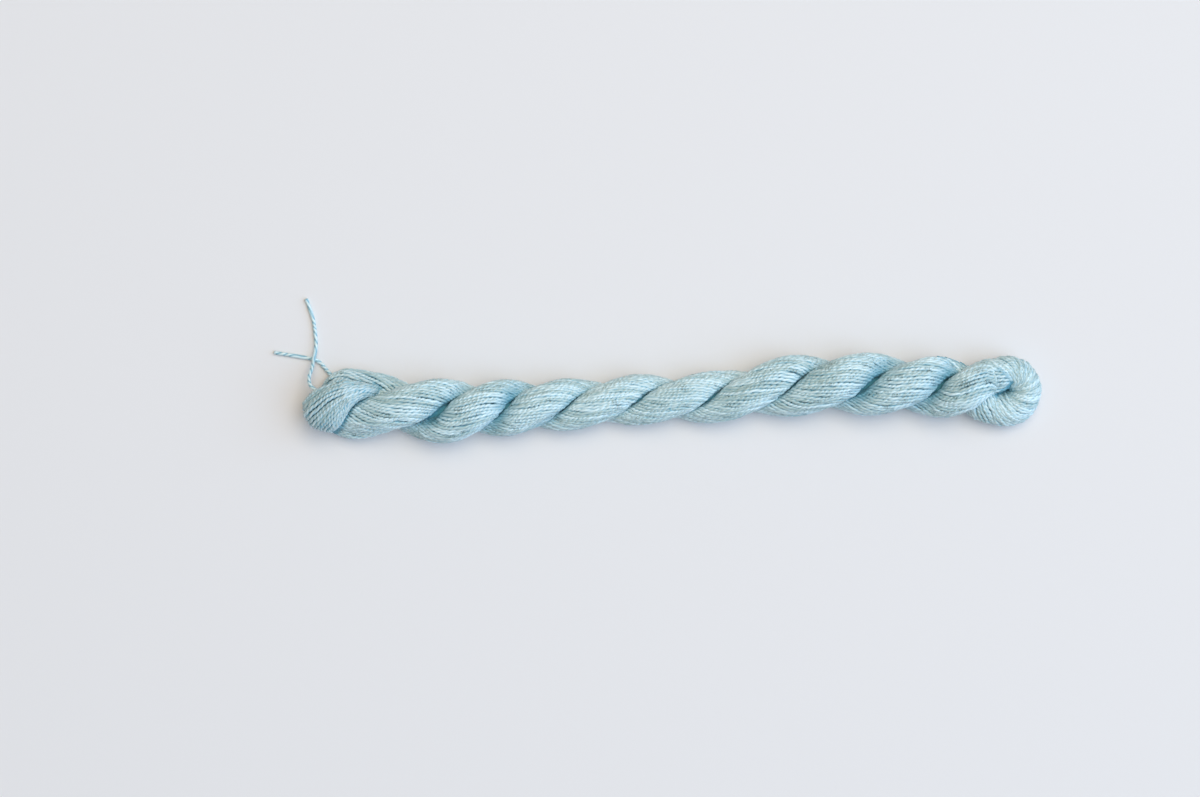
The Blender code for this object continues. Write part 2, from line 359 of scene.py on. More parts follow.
class SkeinFlossSettings(PropertyGroup):
    """The floss: its thread, how it is laid, and its colours."""

    thread_diameter: FloatProperty(name="Thread diameter", description="Across both plies of a thread",
                                   default=1.1 * MM, min=0.3 * MM, max=3 * MM, unit='LENGTH')
    ply_pitch: FloatProperty(name="Ply pitch", description="Length in which the plies turn once",
                             default=3.1 * MM, min=1 * MM, max=10 * MM, unit='LENGTH')
    leg_threads: IntProperty(name="Leg threads", description="Threads that lie round one leg of the rope",
                             default=30, min=8, max=60)
    fan_threads: IntProperty(name="Fan threads", description="Threads that fan over the U-turn",
                             default=58, min=8, max=80)
    loop_threads: IntProperty(name="Loop threads", description="Threads that lie round the end loop",
                              default=17, min=6, max=40)
    head_threads: IntProperty(name="Head threads", description="Threads that fan over the head",
                              default=16, min=6, max=40)
    leg_twist: FloatProperty(name="Leg twist", description="Length in which a leg's threads turn once",
                             default=55 * MM, min=20 * MM, max=500 * MM, unit='LENGTH')
    unevenness: FloatProperty(name="Unevenness", description="How much the threads stray from even places",
                              default=1.0, min=0.0, max=3.0, subtype='FACTOR')
    seed: IntProperty(name="Seed", description="Seed of the threads' unevenness", default=7, min=0)
    colour: FloatVectorProperty(name="Floss colour", description="The threads' middle colour",
                                default=(0.46, 0.61, 0.61), min=0.0, max=1.0, size=3, subtype='COLOR')
    pale_colour: FloatVectorProperty(name="Pale colour", description="The threads' lightest colour",
                                     default=(0.75, 0.93, 0.98), min=0.0, max=1.0, size=3,
                                     subtype='COLOR')
    # Painted shade: the under threads take this darker colour, and the waist between the plies and the
    # threads' sides are darkened towards it.
    under_painted_shade: FloatVectorProperty(name="Under colour", description="The threads under the outer ones",
                                      default=(0.17, 0.44, 0.57), min=0.0, max=1.0, size=3,
                                      subtype='COLOR')
    # Painted shade: the cores take this colour, and the shaded places in creases, beside seams, in the eye,
    # at the neck and under the fan are darkened towards it.
    inner_painted_shade: FloatVectorProperty(name="Inner colour", description="The threads deep in the skein",
                                     default=(0.09, 0.33, 0.44), min=0.0, max=1.0, size=3,
                                     subtype='COLOR')
    roughness: FloatProperty(name="Roughness", description="How dull the thread's gloss is",
                             default=0.33, min=0.0, max=1.0, subtype='FACTOR')
    sheen: FloatProperty(name="Sheen", description="Soft light off the thread's loose fibres",
                         default=0.08, min=0.0, max=1.0, subtype='FACTOR')


class SkeinTieSettings(PropertyGroup):
    """The thread that ties the end loop."""

    diameter: FloatProperty(name="Diameter", description="Across both plies of the tie",
                            default=1.1 * MM, min=0.3 * MM, max=3 * MM, unit='LENGTH')
    ply_pitch: FloatProperty(name="Ply pitch", description="Length in which the tie's plies turn once",
                             default=5.5 * MM, min=1 * MM, max=20 * MM, unit='LENGTH')


class SkeinStageSettings(PropertyGroup):
    """The camera, the floor and the lights."""

    camera_x: FloatProperty(name="Camera X", description="Where the camera stands along the skein",
                            default=-20.5 * MM, unit='LENGTH')
    camera_y: FloatProperty(name="Camera Y", description="Where the camera stands across the skein",
                            default=-0.14 * MM, unit='LENGTH')
    view_width: FloatProperty(name="View width", description="What the camera sees across",
                              default=337.2 * MM, min=0.01, unit='LENGTH')
    view_level: FloatProperty(name="View level", description="The height at which that width is seen",
                              default=7 * MM, unit='LENGTH')
    lens: FloatProperty(name="Lens", description="The camera's focal length in millimetres",
                        default=85.0, min=10.0, max=300.0)
    floor_colour: FloatVectorProperty(name="Floor colour", description="The pale table",
                                      default=(0.82, 0.80, 0.81), min=0.0, max=1.0, size=3,
                                      subtype='COLOR')
    window_power: FloatProperty(name="Window power", description="The cool light from the right, in watts",
                                default=90.0, min=0.0)
    window_colour: FloatVectorProperty(name="Window colour", description="The cool light's colour",
                                       default=(0.45, 0.69, 1.0), min=0.0, max=1.0, size=3,
                                       subtype='COLOR')
    lamp_power: FloatProperty(name="Lamp power", description="The warm light from above, in watts",
                              default=22.5, min=0.0)
    lamp_colour: FloatVectorProperty(name="Lamp colour", description="The warm light's colour",
                                     default=(1.0, 0.82, 0.55), min=0.0, max=1.0, size=3,
                                     subtype='COLOR')
    sky_strength: FloatProperty(name="Sky strength", description="The even light from all round",
                                default=0.31, min=0.0)
    sky_colour: FloatVectorProperty(name="Sky colour", description="The even light's colour",
                                    default=(0.95, 0.98, 1.0), min=0.0, max=1.0, size=3,
                                    subtype='COLOR')


# ---------------------------------------------------------------------------------------------------
# Curves
# ---------------------------------------------------------------------------------------------------

def smooth_curve(points, steps):
    """Points along the centripetal Catmull-Rom curve through the given points, with steps to each span."""
    points = np.asarray(points, float)
    ends = np.vstack([2 * points[0] - points[1], points, 2 * points[-1] - points[-2]])
    gaps = np.sqrt(np.linalg.norm(np.diff(ends[:, :3], axis=0), axis=1))
    knots = np.concatenate([[0.0], np.cumsum(gaps)])
    curve = []
    for i in range(len(points) - 1):
        k0, k1, k2, k3 = knots[i:i + 4]
        p0, p1, p2, p3 = ends[i:i + 4]
        k = np.linspace(k1, k2, steps, endpoint=False)[:, None]
        a1 = (k1 - k) / (k1 - k0) * p0 + (k - k0) / (k1 - k0) * p1
        a2 = (k2 - k) / (k2 - k1) * p1 + (k - k1) / (k2 - k1) * p2
        a3 = (k3 - k) / (k3 - k2) * p2 + (k - k2) / (k3 - k2) * p3
        b1 = (k2 - k) / (k2 - k0) * a1 + (k - k0) / (k2 - k0) * a2
        b2 = (k3 - k) / (k3 - k1) * a2 + (k - k1) / (k3 - k1) * a3
        curve.append((k2 - k) / (k2 - k1) * b1 + (k - k1) / (k2 - k1) * b2)
    return np.vstack(curve + [points[-1:]])


def travel_along(points):
    """Distance along each row of points from its start, summed from step to step."""
    steps = np.linalg.norm(np.diff(points, axis=-2), axis=-1)
    start = np.zeros(steps.shape[:-1] + (1,))
    return np.concatenate([start, np.cumsum(steps, axis=-1)], axis=-1)


def even_steps(curve, spacing):
    """The curve read again about every spacing. Its first three columns are x, y and z."""
    travel = travel_along(curve[:, :3])
    wanted = np.linspace(0.0, travel[-1], int(round(travel[-1] / spacing)) + 1)
    return np.column_stack([np.interp(wanted, travel, column) for column in curve.T])


def smooth_step(value):
    """A smooth rise from 0 to 1 as the value goes from 0 to 1."""
    value = np.clip(value, 0, 1)
    return value * value * (3 - 2 * value)


def unit(vectors):
    """The vectors at length 1."""
    return vectors / np.linalg.norm(vectors, axis=-1, keepdims=True)


def level_frame(middle):
    """Unit vectors square to a path: level across it, and upward."""
    along = unit(np.gradient(middle, axis=0))
    across = unit(np.cross(along, [0.0, 0.0, 1.0]))
    return across, np.cross(across, along)


def pressed(points, clearance):
    """Points flattened as the skein is, and lifted softly off the table by the clearance.

    Below the clearance the height bends into it as a soft corner: the logarithm of one plus the
    exponential of the height over it.
    """
    lifted = points * np.array([1.0, 1.0, FLATTENING])
    over = (lifted[..., 2] - clearance) / TABLE_SOFTNESS
    lifted[..., 2] = clearance + TABLE_SOFTNESS * np.logaddexp(0.0, over)
    return lifted


# ---------------------------------------------------------------------------------------------------
# The rope
# ---------------------------------------------------------------------------------------------------

def leg_rows(first_turn, last_turn, side):
    """One leg's rows: x, y, z, half width, half height, direction to the other leg, flat, faces up, shade.

    A leg circles the rope's middle line once in two turns, left-handed. The flat is how far from the
    leg's middle it meets the other leg. Faces up is 1 where the crease between the legs faces up and 0
    where it faces sideways, and the shade is how wide and dark the crease's painted shade is.
    """
    table = np.array(CREASES, float)
    lay = smooth_curve(np.column_stack([table[:, 1:5] * MM, table[:, 5], table[:, 0]]), CURVE_STEPS)
    turns = np.linspace(first_turn, last_turn, int(abs(last_turn - first_turn) * LEG_STEPS_PER_TURN) + 1)
    x, y, radius, offset, shade = (np.interp(turns, lay[:, 5], lay[:, i]) for i in range(5))
    angle = math.pi * (1 - turns + side)
    height = radius + offset - PRESSED_DEPTH / FLATTENING + offset * np.sin(angle)
    height += (END_HEIGHT[side] - height) * smooth_step((turns - DROP_TURN) / (LAST_TURN - DROP_TURN))
    free = smooth_step((FREE_LEFT_TURN - turns) / FREE_FADE_TURNS)
    free = np.maximum(free, smooth_step((turns - FREE_RIGHT_TURN) / FREE_FADE_TURNS))
    flat = offset + (FREE_FLAT * radius - offset) * free
    faces_up = ((1 + np.cos(2 * math.pi * turns)) / 2) ** 2
    return np.column_stack([x, y + offset * np.cos(angle), height, radius, radius,
                            0 * x, -np.cos(angle), -np.sin(angle), flat, faces_up, shade])


def uturn_rows():
    """The half circle's rows, with the same columns as a leg's. Its inner side faces its centre."""
    angle_deg, height, radius = np.array(UTURN, float).T
    angle = np.radians(angle_deg)
    x = UTURN_X + UTURN_RADIUS * np.cos(angle)
    y = UTURN_Y + UTURN_RADIUS * np.sin(angle)
    return np.column_stack([x, y, height * MM, radius * MM, radius * MM,
                            -np.cos(angle), -np.sin(angle), 0 * x, FREE_FLAT * radius * MM, 0 * x,
                            1 + 0 * x])


def end_rows(table, leg_row):
    """Rows of a leg's end from a table, facing as the leg's nearest row does and with no flat."""
    sizes = np.array(table) * MM
    facing = np.repeat(leg_row[None, 5:8], len(sizes), axis=0)
    return np.column_stack([sizes, facing, FREE_FLAT * sizes[:, 3], np.zeros(len(sizes)),
                            np.ones(len(sizes))])


def rope_path(spacing):
    """The whole rope at even steps: the stub, one leg out to the U-turn, and the other back to the neck."""
    out = leg_rows(STUB_TURN, LAST_TURN, 0)
    back = leg_rows(LAST_TURN, NECK_TURN, 1)
    rows = [end_rows(STUB, out[0]), out, uturn_rows(), back, end_rows(NECK, back[-1])]
    return even_steps(smooth_curve(np.vstack(rows), ROPE_CURVE_STEPS), spacing)


def round_path(points, radius, spacing):
    """A path of one radius, round all along, through the points at even steps, with the rope's columns."""
    line = even_steps(smooth_curve(points, CURVE_STEPS), spacing)
    sizes = [radius, radius, 0.0, 0.0, -1.0, FREE_FLAT * radius, 0.0, 1.0]
    return np.column_stack([line, np.repeat([sizes], len(line), axis=0)])


def loop_path(spacing):
    """The end loop's path."""
    return round_path(np.array(END_LOOP) * MM, END_LOOP_RADIUS, spacing)


def middle_path(spacing):
    """The rope's middle line, between its two legs, from the neck on down into the U-turn's eye."""
    x, y, radius, offset = np.array(CREASES)[1:-1, 1:5].T * MM
    middle = np.column_stack([x, y, radius + offset - PRESSED_DEPTH])
    middle[0] = (middle[0] + middle[1]) / 2
    return round_path(np.vstack([middle, np.array(MIDDLE_EYE) * MM]), MIDDLE_RADIUS, spacing)


# The section table's rows, each a ratio of flat to radius, its columns, and the steps round a section that
# it is worked out from. Under the surface, a leg's radius is never less than the least.
RATIO_ROWS = np.linspace(0.25, 1.5, 26)
SHARE_COLUMNS = 257
SECTION_STEPS = 721
LEAST_RADIUS = 0.25 * MM


def section_reach(angle, ratio, corner):
    """How far a leg's section reaches at an angle from its outer side, as a share of its radius.

    The section is a circle of radius 1 that is cut by a flat at the ratio from its middle, on the inner
    side. The two reaches are joined by a power mean of the corner, which rounds the corners, and the
    middle of the flat is brought back out to its ratio.
    """
    facing = np.maximum(-np.cos(angle), 0.0)
    reach = (1 + (facing / ratio) ** corner) ** (-1 / corner)
    middle = (1 + ratio ** -corner) ** (-1 / corner)
    wanted = np.minimum(ratio, 1.0)
    return reach * (1 + np.maximum(wanted / middle - 1, 0) * facing ** 3)


def section_table():
    """Angles at even shares of the way round the section, a row for each ratio of flat to radius."""
    angle = np.linspace(-math.pi, math.pi, SECTION_STEPS)
    shares = np.linspace(0, 1, SHARE_COLUMNS)
    rows = []
    for ratio in RATIO_ROWS:
        reach = section_reach(angle, ratio, TOP_CORNER)
        outline = np.column_stack([reach * np.cos(angle), reach * np.sin(angle)])
        travel = travel_along(outline)
        rows.append(np.interp(shares, travel / travel[-1], angle))
    return np.array(rows)


SECTION_ANGLES = section_table()


def read_grid(grid, row, column):
    """Values of a grid at fractional rows and columns, each read between its four nearest entries."""
    row_low = np.clip(row.astype(int), 0, grid.shape[0] - 2)
    column_low = np.clip(column.astype(int), 0, grid.shape[1] - 2)
    extra = (1,) * (grid.ndim - 2)
    row_part = (row - row_low).reshape(row.shape + extra)
    column_part = (column - column_low).reshape(column.shape + extra)
    low = grid[row_low, column_low] * (1 - column_part) + grid[row_low, column_low + 1] * column_part
    row_high = row_low + 1
    high = grid[row_high, column_low] * (1 - column_part) + grid[row_high, column_low + 1] * column_part
    return low * (1 - row_part) + high * row_part


def section_angle(share, ratio):
    """The angle at a share of the way round a section, read from the table."""
    ratio = np.clip(ratio, RATIO_ROWS[0], RATIO_ROWS[-1])
    row = (ratio - RATIO_ROWS[0]) / (RATIO_ROWS[1] - RATIO_ROWS[0])
    return read_grid(SECTION_ANGLES, row + 0 * share, (share % 1.0) * (SHARE_COLUMNS - 1))


def round_the_leg(path, turn, depth):
    """Places round a leg, their outward directions, and the painted shade of a crease on them, from 0 to 1.

    The turn is how far round the leg's level frame a place lies, in whole turns, and the depth is how
    far under the leg's surface. Both have a row for each thread and a column for each step of the path.
    Threads are spread by the way round the section, so they stand as far apart on its flat as on its
    round. The painted shade is full near and past the section's corner, and less within the crease's
    width of it, which grows with the crease's shade; it is weaker where the crease faces sideways. A
    place in that painted shade which faces up lies lower by the crease's pit.
    """
    middle, half_width, half_height = path[:, :3], path[:, 3], path[:, 4]
    across, upward = level_frame(middle)
    out_across = -np.sum(path[:, 5:8] * across, axis=1)
    out_upward = -np.sum(path[:, 5:8] * upward, axis=1)
    out_angle = np.unwrap(np.arctan2(out_upward, out_across))
    wide = np.maximum(half_width - depth, LEAST_RADIUS)
    high = np.maximum(half_height - depth, LEAST_RADIUS)
    ratio = (path[:, 8] - depth) / wide
    share = turn - out_angle / (2 * math.pi) + 0.5
    local = section_angle(share, ratio)
    ratio = np.clip(ratio, RATIO_ROWS[0], None)
    faces_up, shade = path[:, 9], path[:, 10]
    reach = section_reach(local, ratio, SIDE_CORNER + (TOP_CORNER - SIDE_CORNER) * faces_up)
    angle = out_angle + local
    off_round = np.abs(np.arctan2(np.sin(local), np.cos(local))) - np.arccos(-np.minimum(ratio, 1.0))
    # Painted shade in the crease, full near and past its corner, weaker where the crease faces sideways.
    painted_shade = smooth_step(1 + CREASE_DARK + off_round / (CREASE_WIDTH * shade)) * (ratio < 1)
    painted_shade *= np.minimum(shade, 1.0)
    pit = CREASE_PIT * shade * path[:, 8] * painted_shade * faces_up
    side = (wide * reach - pit) * np.cos(angle)
    rise = (high * reach - pit) * np.sin(angle)
    places = middle + side[..., None] * across + rise[..., None] * upward
    outward = np.cos(angle)[..., None] * across + np.sin(angle)[..., None] * upward
    return places, outward, painted_shade * (CREASE_SIDE + (1 - CREASE_SIDE) * faces_up)


# ---------------------------------------------------------------------------------------------------
# Unevenness
# ---------------------------------------------------------------------------------------------------

def own_waves(rng, count, travel, waves):
    """Each thread's own slow waves along its length: a sum of sines, each with a random start."""
    total = np.zeros((count, len(travel)))
    for length, amount in waves:
        start = rng.uniform(0, 2 * math.pi, (count, 1))
        total += amount * np.sin(2 * math.pi * travel / length + start)
    return total


def shared_waves(rng, turn, travel, waves):
    """Waves that neighbours share: sines of the turn times a whole number plus the way along."""
    total = np.zeros_like(turn)
    for times_round, length, amount in waves:
        start = rng.uniform(0, 2 * math.pi)
        total += amount * np.sin(2 * math.pi * (times_round * turn + travel / length) + start)
    return total


OWN_SIDE = [
    # length_m, amount as a share of the space between threads
    (7 * MM, 0.06),
    (13 * MM, 0.08),
    (29 * MM, 0.10),
]
OWN_DEPTH = [
    # length_m, amount_m
    (7 * MM, 0.07 * MM),
    (15 * MM, 0.10 * MM),
    (31 * MM, 0.10 * MM),
]
OWN_ROLL = [
    # length_m, amount in turns of the plies
    (6 * MM, 0.10),
    (14 * MM, 0.30),
]
SHARED_SIDE = [
    # times round, length_m, amount in turns
    (3, 90 * MM, 0.004),
    (5, -70 * MM, 0.004),
    (7, 120 * MM, 0.002),
]
SHARED_DEPTH = [
    # times round, length_m, amount_m
    (3, 90 * MM, 0.08 * MM),
    (5, -70 * MM, 0.10 * MM),
    (8, 60 * MM, 0.06 * MM),
]


def thread_turns(path, count, twist):
    """How far round a leg each thread lies at each step of its path: right-handed, one turn in the twist."""
    return np.arange(count)[:, None] / count - travel_along(path[:, :3]) / twist


def thread_places(rng, path, count, depth, twist, unevenness):
    """Middle lines and outward directions of a leg's threads, and the painted shade of the creases on them.

    Each thread turns round the leg as it goes along, and strays a little to the side and in depth.
    """
    travel = travel_along(path[:, :3])
    turn = thread_turns(path, count, twist)
    side = own_waves(rng, count, travel, OWN_SIDE) / count + shared_waves(rng, turn, travel, SHARED_SIDE)
    stray = own_waves(rng, count, travel, OWN_DEPTH) + shared_waves(rng, turn, travel, SHARED_DEPTH)
    stray = np.maximum(stray, -MOST_PROUD)
    return round_the_leg(path, turn + unevenness * side, depth + unevenness * stray)


def strayed(rng, lines, outward, space):
    """Lines that stray a little outward and sideways, as a leg's threads do, the given space apart."""
    travel = travel_along(lines[0])
    sideways = unit(np.cross(np.gradient(lines, axis=1), outward))
    lifts = own_waves(rng, len(lines), travel, OWN_DEPTH)
    shifts = own_waves(rng, len(lines), travel, OWN_SIDE) * space
    return lines + lifts[..., None] * outward + shifts[..., None] * sideways


# ---------------------------------------------------------------------------------------------------
# Meshes
# ---------------------------------------------------------------------------------------------------

def thread_rings(rng, middle, outward, diameter, pitch, section):
    """Rings of the section carried along each thread, turning left-handed about once in the pitch.

    A ring stands square to its thread. Its angle is a random start less the way along over the thread's
    own pitch, with slow waves, measured from the outward direction. With them goes the painted shade of
    each place on the rings: 0 where it faces outward, and 1 from the thread's sides down.
    """
    along = unit(np.gradient(middle, axis=1))
    normal = unit(outward - np.sum(outward * along, axis=-1, keepdims=True) * along)
    sideways = np.cross(along, normal)
    travel = travel_along(middle)
    starts = rng.uniform(0, 1, (len(middle), 1)) + own_waves(rng, len(middle), travel[0], OWN_ROLL)
    pitches = pitch * rng.uniform(*PITCH_SHARES, (len(middle), 1))
    angle = (starts - travel / pitches) * 2 * math.pi
    across, through = np.array(section).T * diameter
    turned_x = across * np.cos(angle)[..., None] - through * np.sin(angle)[..., None]
    turned_y = across * np.sin(angle)[..., None] + through * np.cos(angle)[..., None]
    rings = middle[:, :, None] + turned_x[..., None] * normal[:, :, None]
    rings += turned_y[..., None] * sideways[:, :, None]
    facing_out = turned_x / np.hypot(turned_x, turned_y)
    return rings, smooth_step((SHADE_START - facing_out) / SHADE_SPAN)


def mesh_from_rings(name, rings, tones, painted_shade, shade):
    """One mesh of closed tubes, one for each row of rings, with a flat cap at each end.

    The tubes' UV map holds the way along in millimetres and the share of the way round. Three
    attributes hold each tube's own tone, the painted shade on each ring in creases, beside seams, in the
    eye, at the neck and where it sinks under the fan, and the painted shade of each place on a thread's
    sides.
    """
    tubes, steps, sides = rings.shape[:3]
    tube, step, side = np.meshgrid(np.arange(tubes), np.arange(steps - 1), np.arange(sides), indexing='ij')
    after = (side + 1) % sides
    base = tube * steps * sides
    low, high = base + step * sides, base + (step + 1) * sides
    quads = np.stack([low + side, low + after, high + after, high + side], axis=-1).reshape(-1, 4)
    around = np.arange(sides)
    starts = (np.arange(tubes) * steps * sides)[:, None] + around[::-1]
    ends = (np.arange(tubes) * steps * sides + (steps - 1) * sides)[:, None] + around
    caps = np.concatenate([starts, ends])

    mesh = bpy.data.meshes.new(name)
    mesh.vertices.add(tubes * steps * sides)
    mesh.vertices.foreach_set("co", rings.reshape(-1).astype(np.float32))
    loops = np.concatenate([quads.ravel(), caps.ravel()]).astype(np.int32)
    mesh.loops.add(len(loops))
    mesh.loops.foreach_set("vertex_index", loops)
    loop_starts = np.concatenate([np.arange(len(quads)) * 4, len(quads) * 4 + np.arange(len(caps)) * sides])
    mesh.polygons.add(len(loop_starts))
    mesh.polygons.foreach_set("loop_start", loop_starts.astype(np.int32))
    mesh.polygons.foreach_set("use_smooth", np.ones(len(loop_starts), bool))
    mesh.update(calc_edges=True)

    travel = travel_along(rings.mean(axis=2)) / MM
    along_low, along_high = travel[tube, step], travel[tube, step + 1]
    round_low, round_high = side / sides, (side + 1) / sides
    quad_u = np.stack([along_low, along_low, along_high, along_high], axis=-1)
    quad_v = np.stack([round_low, round_high, round_high, round_low], axis=-1)
    cap_uv = np.zeros((caps.size, 2))
    uv = np.concatenate([np.stack([quad_u, quad_v], axis=-1).reshape(-1, 2), cap_uv])
    layer = mesh.uv_layers.new(name="thread")
    layer.data.foreach_set("uv", uv.ravel().astype(np.float32))
    for held, values in (("tone", np.repeat(tones, steps * sides)),
                         ("painted_shade", np.repeat(painted_shade.ravel(), sides)), ("shade", shade.ravel())):
        made = mesh.attributes.new(held, 'FLOAT', 'POINT')
        made.data.foreach_set("value", values.astype(np.float32))
    return mesh


def piece_from_mesh(name, mesh, material, replaced):
    """A finished piece at the origin, riding on the skein's one body in place of its solid."""
    mesh.materials.append(material)
    piece = bpy.data.objects.new(name, mesh)
    bpy.context.scene.collection.objects.link(piece)
    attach(piece, "root")
    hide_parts(replaced)
    return piece


def single_piece(name, rings, tone, material, replaced):
    """A finished piece of one tube, with one tone and no painted shade of its own."""
    unshaded = np.zeros(rings.shape[:3])
    mesh = mesh_from_rings(name, rings, np.array([tone]), unshaded[:, :, 0], unshaded)
    return piece_from_mesh(name, mesh, material, replaced)


def thread_pieces(rng, name, floss, middle, outward, painted_shade, section, material):
    """The threads, each of a random tone, in as few pieces as the limit on a piece's triangles allows."""
    rings, shade = thread_rings(rng, middle, outward, floss.thread_diameter, floss.ply_pitch, section)
    tubes, steps, sides = rings.shape[:3]
    tones = rng.uniform(0, 1, tubes)
    per_piece = max(1, PIECE_TRIANGLES // (2 * steps * sides))
    pieces = math.ceil(tubes / per_piece)
    for part, picked in enumerate(np.array_split(np.arange(tubes), pieces)):
        piece_name = name if pieces == 1 else f"{name}_{part + 1}"
        mesh = mesh_from_rings(piece_name, rings[picked], tones[picked], painted_shade[picked], shade[picked])
        piece_from_mesh(piece_name, mesh, material, "skein")


# ---------------------------------------------------------------------------------------------------
# Materials
# ---------------------------------------------------------------------------------------------------

# The silk's gloss, and how strong the painted shade on its sides and in its creases, seams, eye and
# neck is. Its colour is read from a slow drift plus a share of the thread's own tone: the dark one up to
# the first level, and the pale one from the second. The drift and the fibres are noise, scaled to a
# millimetre along the thread and to one way round it, and the fibres lie at a slant in radians.
SHEEN_ROUGHNESS = 0.4
SILK_SPECULAR = 0.9
SIDE_SHADE = 0.8
DEEP_SHADE = 0.9
DRIFT_SCALE = (0.12, 1.0, 1.0)
TONE_SHARE = 0.45
DARK_LEVEL = 0.5
PALE_LEVEL = 0.95
FIBRE_SCALE = (1.2, 26.0, 1.0)
FIBRE_SLANT = 0.5
FIBRE_STRENGTH = 0.35
FIBRE_HEIGHT = 0.1 * MM

# The head's colours as a share of the others', darker as painted shade. The core's streaks to a metre,
# its darkest and palest colours as shares of its own, and its roughness.
HEAD_PAINTED_SHADE = 0.84
STREAK_SCALE = 900.0
CORE_SHARES = (0.7, 1.4)
CORE_ROUGHNESS = 0.9


def new_material(name, roughness):
    """A new material of a given roughness, with its node tree and its shader."""
    material = bpy.data.materials.new(name)
    material.use_nodes = True
    shader = material.node_tree.nodes["Principled BSDF"]
    shader.inputs["Roughness"].default_value = roughness
    return material, material.node_tree, shader


def node(tree, kind, **values):
    """A new node of a material, with its input sockets set by name."""
    made = tree.nodes.new(kind)
    for key, value in values.items():
        made.inputs[key].default_value = value
    return made


def attribute(tree, name):
    """What a mesh attribute holds at each place."""
    made = tree.nodes.new("ShaderNodeAttribute")
    made.attribute_name = name
    return made.outputs["Fac"]


def maths(tree, operation, *values):
    """What an operation makes of its values, each of which is a number or another node's output."""
    made = tree.nodes.new("ShaderNodeMath")
    made.operation = operation
    for place, value in zip(made.inputs, values):
        if isinstance(value, bpy.types.NodeSocket):
            tree.links.new(value, place)
        else:
            place.default_value = value
    return made.outputs["Value"]


def noise(tree, uv, scale, slant, detail, roughness):
    """Noise over the threads' UV map, which is scaled and slanted first."""
    place = node(tree, "ShaderNodeMapping", Scale=scale, Rotation=(0.0, 0.0, slant))
    tree.links.new(uv, place.inputs["Vector"])
    made = node(tree, "ShaderNodeTexNoise", Scale=1.0, Detail=detail, Roughness=roughness)
    tree.links.new(place.outputs["Vector"], made.inputs["Vector"])
    return made.outputs["Fac"]


def ramp(tree, level, *stops):
    """A colour that goes from the first stop's to the second's as the level passes their places."""
    made = tree.nodes.new("ShaderNodeValToRGB")
    for element, (place, colour) in zip(made.color_ramp.elements, stops):
        element.position = place
        element.color = (*colour, 1.0)
    tree.links.new(level, made.inputs["Fac"])
    return made.outputs["Color"]


def mixed(tree, low, high, share, amount):
    """A colour that goes from the low one to the high one as the share times the amount goes to 1."""
    mix = tree.nodes.new("ShaderNodeMix")
    mix.data_type = 'RGBA'
    mix.inputs["B"].default_value = (*high, 1.0)
    tree.links.new(maths(tree, 'MULTIPLY', share, amount), mix.inputs["Factor"])
    tree.links.new(low, mix.inputs["A"])
    return mix.outputs["Result"]


def floss_material(name, settings, dark, pale, waist_shade):
    """Silk thread: a colour that drifts along and between the threads, fine fibres, and a soft gloss.

    The waist between the plies lies a quarter and three quarters of the way round, and is painted
    darker as shade, as are the threads' sides and the shaded places in creases, beside seams, in the eye,
    at the neck and under the fan. How far a place lies in the waist is the square of half of one less the
    cosine of four pi times its share of the way round.
    """
    if name in bpy.data.materials:
        return bpy.data.materials[name]
    material, tree, shader = new_material(name, settings.roughness)
    shader.inputs["Sheen Weight"].default_value = settings.sheen
    shader.inputs["Sheen Roughness"].default_value = SHEEN_ROUGHNESS
    shader.inputs["Specular IOR Level"].default_value = SILK_SPECULAR
    uv = tree.nodes.new("ShaderNodeUVMap")
    uv.uv_map = "thread"
    parts = tree.nodes.new("ShaderNodeSeparateXYZ")
    tree.links.new(uv.outputs["UV"], parts.inputs["Vector"])
    # Painted shade in the waist between the plies, from 0 on a ply to 1 in the waist.
    waist = maths(tree, 'COSINE', maths(tree, 'MULTIPLY', parts.outputs["Y"], 4 * math.pi))
    waist = maths(tree, 'POWER', maths(tree, 'MULTIPLY_ADD', waist, -0.5, 0.5), 2.0)

    drift = noise(tree, uv.outputs["UV"], DRIFT_SCALE, slant=0.0, detail=2.0, roughness=0.5)
    level = maths(tree, 'MULTIPLY_ADD', attribute(tree, "tone"), TONE_SHARE, drift)
    colour = ramp(tree, level, (DARK_LEVEL, dark), (PALE_LEVEL, pale))
    # Painted shade: the waist and the threads' sides go towards the under colour, and the shaded places
    # towards the inner colour.
    colour = mixed(tree, colour, settings.under_painted_shade, waist, waist_shade)
    colour = mixed(tree, colour, settings.under_painted_shade, attribute(tree, "shade"), SIDE_SHADE)
    colour = mixed(tree, colour, settings.inner_painted_shade, attribute(tree, "painted_shade"), DEEP_SHADE)
    tree.links.new(colour, shader.inputs["Base Color"])

    fibres = noise(tree, uv.outputs["UV"], FIBRE_SCALE, FIBRE_SLANT, detail=3.0, roughness=0.6)
    bump = node(tree, "ShaderNodeBump", Strength=FIBRE_STRENGTH, Distance=FIBRE_HEIGHT)
    tree.links.new(fibres, bump.inputs["Height"])
    tree.links.new(bump.outputs["Normal"], shader.inputs["Normal"])
    return material


def outer_material(settings):
    """The threads that show."""
    return floss_material("outer_threads", settings, settings.colour, settings.pale_colour,
                          waist_shade=0.3)


def head_material(settings):
    """The head's threads, painted a little darker as shade for the softer light they lie in."""
    shaded_colours = [[c * HEAD_PAINTED_SHADE for c in colour] for colour in (settings.colour, settings.pale_colour)]
    return floss_material("head_outer", settings, *shaded_colours, waist_shade=0.45)


def under_material(settings):
    """The threads under the outer ones, painted darker as shade in the under colour."""
    return floss_material("under_threads", settings, settings.under_painted_shade, settings.colour,
                          waist_shade=0.3)


def tie_material(settings):
    """The tie, whose two plies show clearly, with strong painted shade in the waist between them."""
    return floss_material("tie", settings, settings.colour, settings.pale_colour, waist_shade=0.9)


